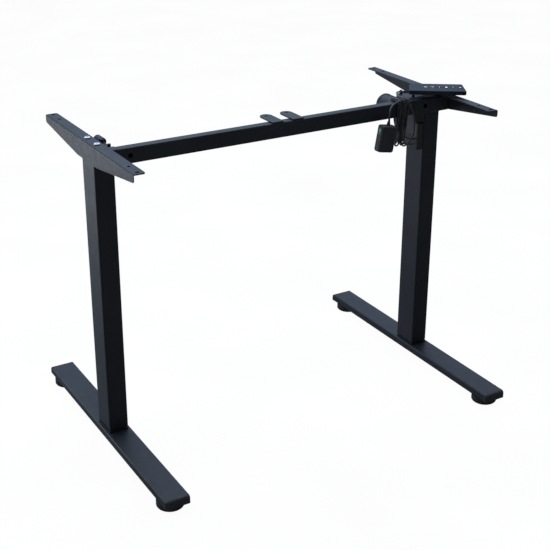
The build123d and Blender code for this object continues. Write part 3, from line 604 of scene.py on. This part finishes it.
def facing(direction):
    """A turn that puts +Z along a level direction, with X level."""
    z = Vector(direction).normalized()
    x = Vector((0, 0, 1)).cross(z).normalized()
    return Matrix((x, z.cross(x), z)).transposed().to_4x4()


def plate(name, place, size, material):
    """A thin rounded rectangle on the right upper leg, lying on the place's own XY."""
    width, length, corner, height = size
    bm = bmesh.new()
    outline = [(x + corner * c, y + corner * d) for x, y, c, d in rounded(width / 2, length / 2, corner, 4)]
    slab(bm, outline, place, 0.0, height)
    mesh_piece(name, bm, material, "right_leg_upper")


def supply_lamp():
    """A green lamp in its dark window, high on the supply's left face."""
    lamp = printed("power_lamp", (0.02, 0.42, 0.20), 0.20)
    window = Shader("lamp_window", roughness=0.3)
    tone = window.noise(900.0)
    window.color(window.ramp(tone, [(0.3, (0.004, 0.030, 0.014)), (0.7, (0.006, 0.045, 0.020))]))
    supply = Matrix.Translation(at_seam(SUPPLY_CENTRE)) @ Matrix.Rotation(SUPPLY_LEAN, 4, "Y")
    front = supply @ Matrix.Translation(LAMP_WINDOW) @ facing((-1, 0, 0))
    plate("lamp_window", front, WINDOW_SIZE, window.material)
    plate("power_lamp", front @ Matrix.Translation(LAMP_IN_WINDOW), LAMP_SIZE, lamp)


def box_label():
    """A blank label on the control box."""
    label = Shader("blank_label", roughness=0.5, specular=0.4)
    tone = label.noise(60.0, 4.0)
    label.color(label.ramp(tone, [(0.3, (0.016, 0.012, 0.019)), (0.7, (0.024, 0.018, 0.027))]))
    label.bump(label.noise(700.0, 3.0), 0.00004, 0.5)
    place = Matrix.Translation(at_seam(LABEL_CENTRE)) @ facing((-1, 0, 0))
    plate("blank_label", place, LABEL_SIZE, label.material)


def screws(name, body, centres, direction, radius, height, edge):
    """Flat screw heads in one piece."""
    bm = bmesh.new()
    for centre in centres:
        disc(bm, Matrix.Translation(at_seam(centre)) @ facing(direction), radius, height)
    bevelled(mesh_piece(name, bm, MATERIALS["black_bolt"], body), edge)


def small_screws():
    """Screws of the motor's end cap and in the brackets' webs."""
    angles = [math.radians(90 + 120 * k) for k in range(CAP_SCREWS)]
    r = CAP_SCREW_CIRCLE
    centres = [(MOTOR_X + r * math.cos(a), MOTOR_BACK, MOTOR_Z + r * math.sin(a)) for a in angles]
    screws("motor_cap_screws", "right_leg_upper", centres, (0, 1, 0), CAP_SCREW_R, CAP_SCREW_H, 0.0003)
    for side, sign in (("left", -1), ("right", 1)):
        centres = [(sign * WEB_X, y, WEB_SCREW_Z) for y in (-WEB_SCREW_Y, WEB_SCREW_Y)]
        name, body = f"web_screws_{side}", f"{side}_leg_upper"
        screws(name, body, centres, (sign, 0, 0), WEB_SCREW_R, WEB_SCREW_H, 0.0004)


handset_tie = hank_tie("handset_tie", HANDSET_HANK, HANDSET_TIE_Z)
supply_tie = hank_tie("supply_tie", BRICK_HANK, SUPPLY_TIE_Z)
supply_lamp()
box_label()
small_screws()


# ------------------------------------------------------------------ light and floor
WORLD_STRENGTH = 1.0
WORLD_TOWARD = (0.20, 0.75, 0.62)    # the world is brightest this way
WORLD_STOPS = [
    (0.20, (0.040, 0.046, 0.056)), (0.60, (0.17, 0.20, 0.25)), (0.80, (0.41, 0.51, 0.70)),
    (0.96, (0.66, 0.84, 1.18))]
LIGHTS = [      # name, place, aim, size, energy, colour
    ("overhead", (0.0, 0.6, 3.2), (0, 0, 0.3), (4.5, 3.5), 90, (0.86, 0.93, 1.0)),
    ("left", (-1.45, 1.15, 0.45), (-0.45, 0, 0.40), (1.0, 0.8), 9, (0.90, 0.95, 1.0))]
FLOOR_HALF = 25


def area_light(name, place, aim, size, energy, color):
    data = bpy.data.lights.new(name, "AREA")
    data.shape, data.size, data.size_y = "RECTANGLE", *size
    data.energy, data.color = energy, color
    light = bpy.data.objects.new(name, data)
    bpy.context.scene.collection.objects.link(light)
    light.location = place
    light.rotation_mode = "QUATERNION"
    light.rotation_quaternion = (Vector(aim) - Vector(place)).to_track_quat("-Z", "Y")


def world_glow():
    """A world that is bright behind the object and dark in front of it."""
    world = bpy.data.worlds.new("studio")
    world.use_nodes = True
    bpy.context.scene.world = world
    nodes, links = world.node_tree.nodes, world.node_tree.links
    background = next(n for n in nodes if n.type == "BACKGROUND")
    background.inputs["Strength"].default_value = WORLD_STRENGTH
    place = nodes.new("ShaderNodeTexCoord").outputs["Generated"]
    toward = nodes.new("ShaderNodeVectorMath")
    toward.operation = "DOT_PRODUCT"
    toward.inputs[1].default_value = WORLD_TOWARD
    links.new(place, toward.inputs[0])
    share = nodes.new("ShaderNodeMapRange")
    share.inputs["From Min"].default_value, share.inputs["From Max"].default_value = -1.0, 1.0
    links.new(toward.outputs["Value"], share.inputs["Value"])
    ramp = nodes.new("ShaderNodeValToRGB")
    links.new(share.outputs["Result"], ramp.inputs["Fac"])
    while len(ramp.color_ramp.elements) < len(WORLD_STOPS):
        ramp.color_ramp.elements.new(0.5)
    for element, (at, color) in zip(ramp.color_ramp.elements, WORLD_STOPS):
        element.position, element.color = at, (*color, 1)
    links.new(ramp.outputs["Color"], background.inputs["Color"])


def white_floor():
    """A floor that is white by its own glow, so that it takes only faint shadows."""
    floor = Shader("studio_floor", roughness=0.9, specular=0.0)
    white = floor.ramp(floor.noise(3.0), [(0.3, (0.955, 0.955, 0.955)), (0.7, (0.975, 0.975, 0.975))])
    floor.bsdf.inputs["Base Color"].default_value = (0.03, 0.03, 0.03, 1)
    floor.link(white, floor.bsdf.inputs["Emission Color"])
    floor.bsdf.inputs["Emission Strength"].default_value = 1.0
    bm = bmesh.new()
    bmesh.ops.create_grid(bm, x_segments=4, y_segments=4, size=FLOOR_HALF)
    mesh = bpy.data.meshes.new("floor")
    bm.to_mesh(mesh)
    bm.free()
    plane = bpy.data.objects.new("floor", mesh)
    bpy.context.scene.collection.objects.link(plane)
    plane.data.materials.append(floor.material)
    plane.visible_glossy = False


bpy.context.scene.view_settings.view_transform = "Standard"
world_glow()
for light in LIGHTS:
    area_light(*light)
white_floor()


bpy.context.view_layer.update()
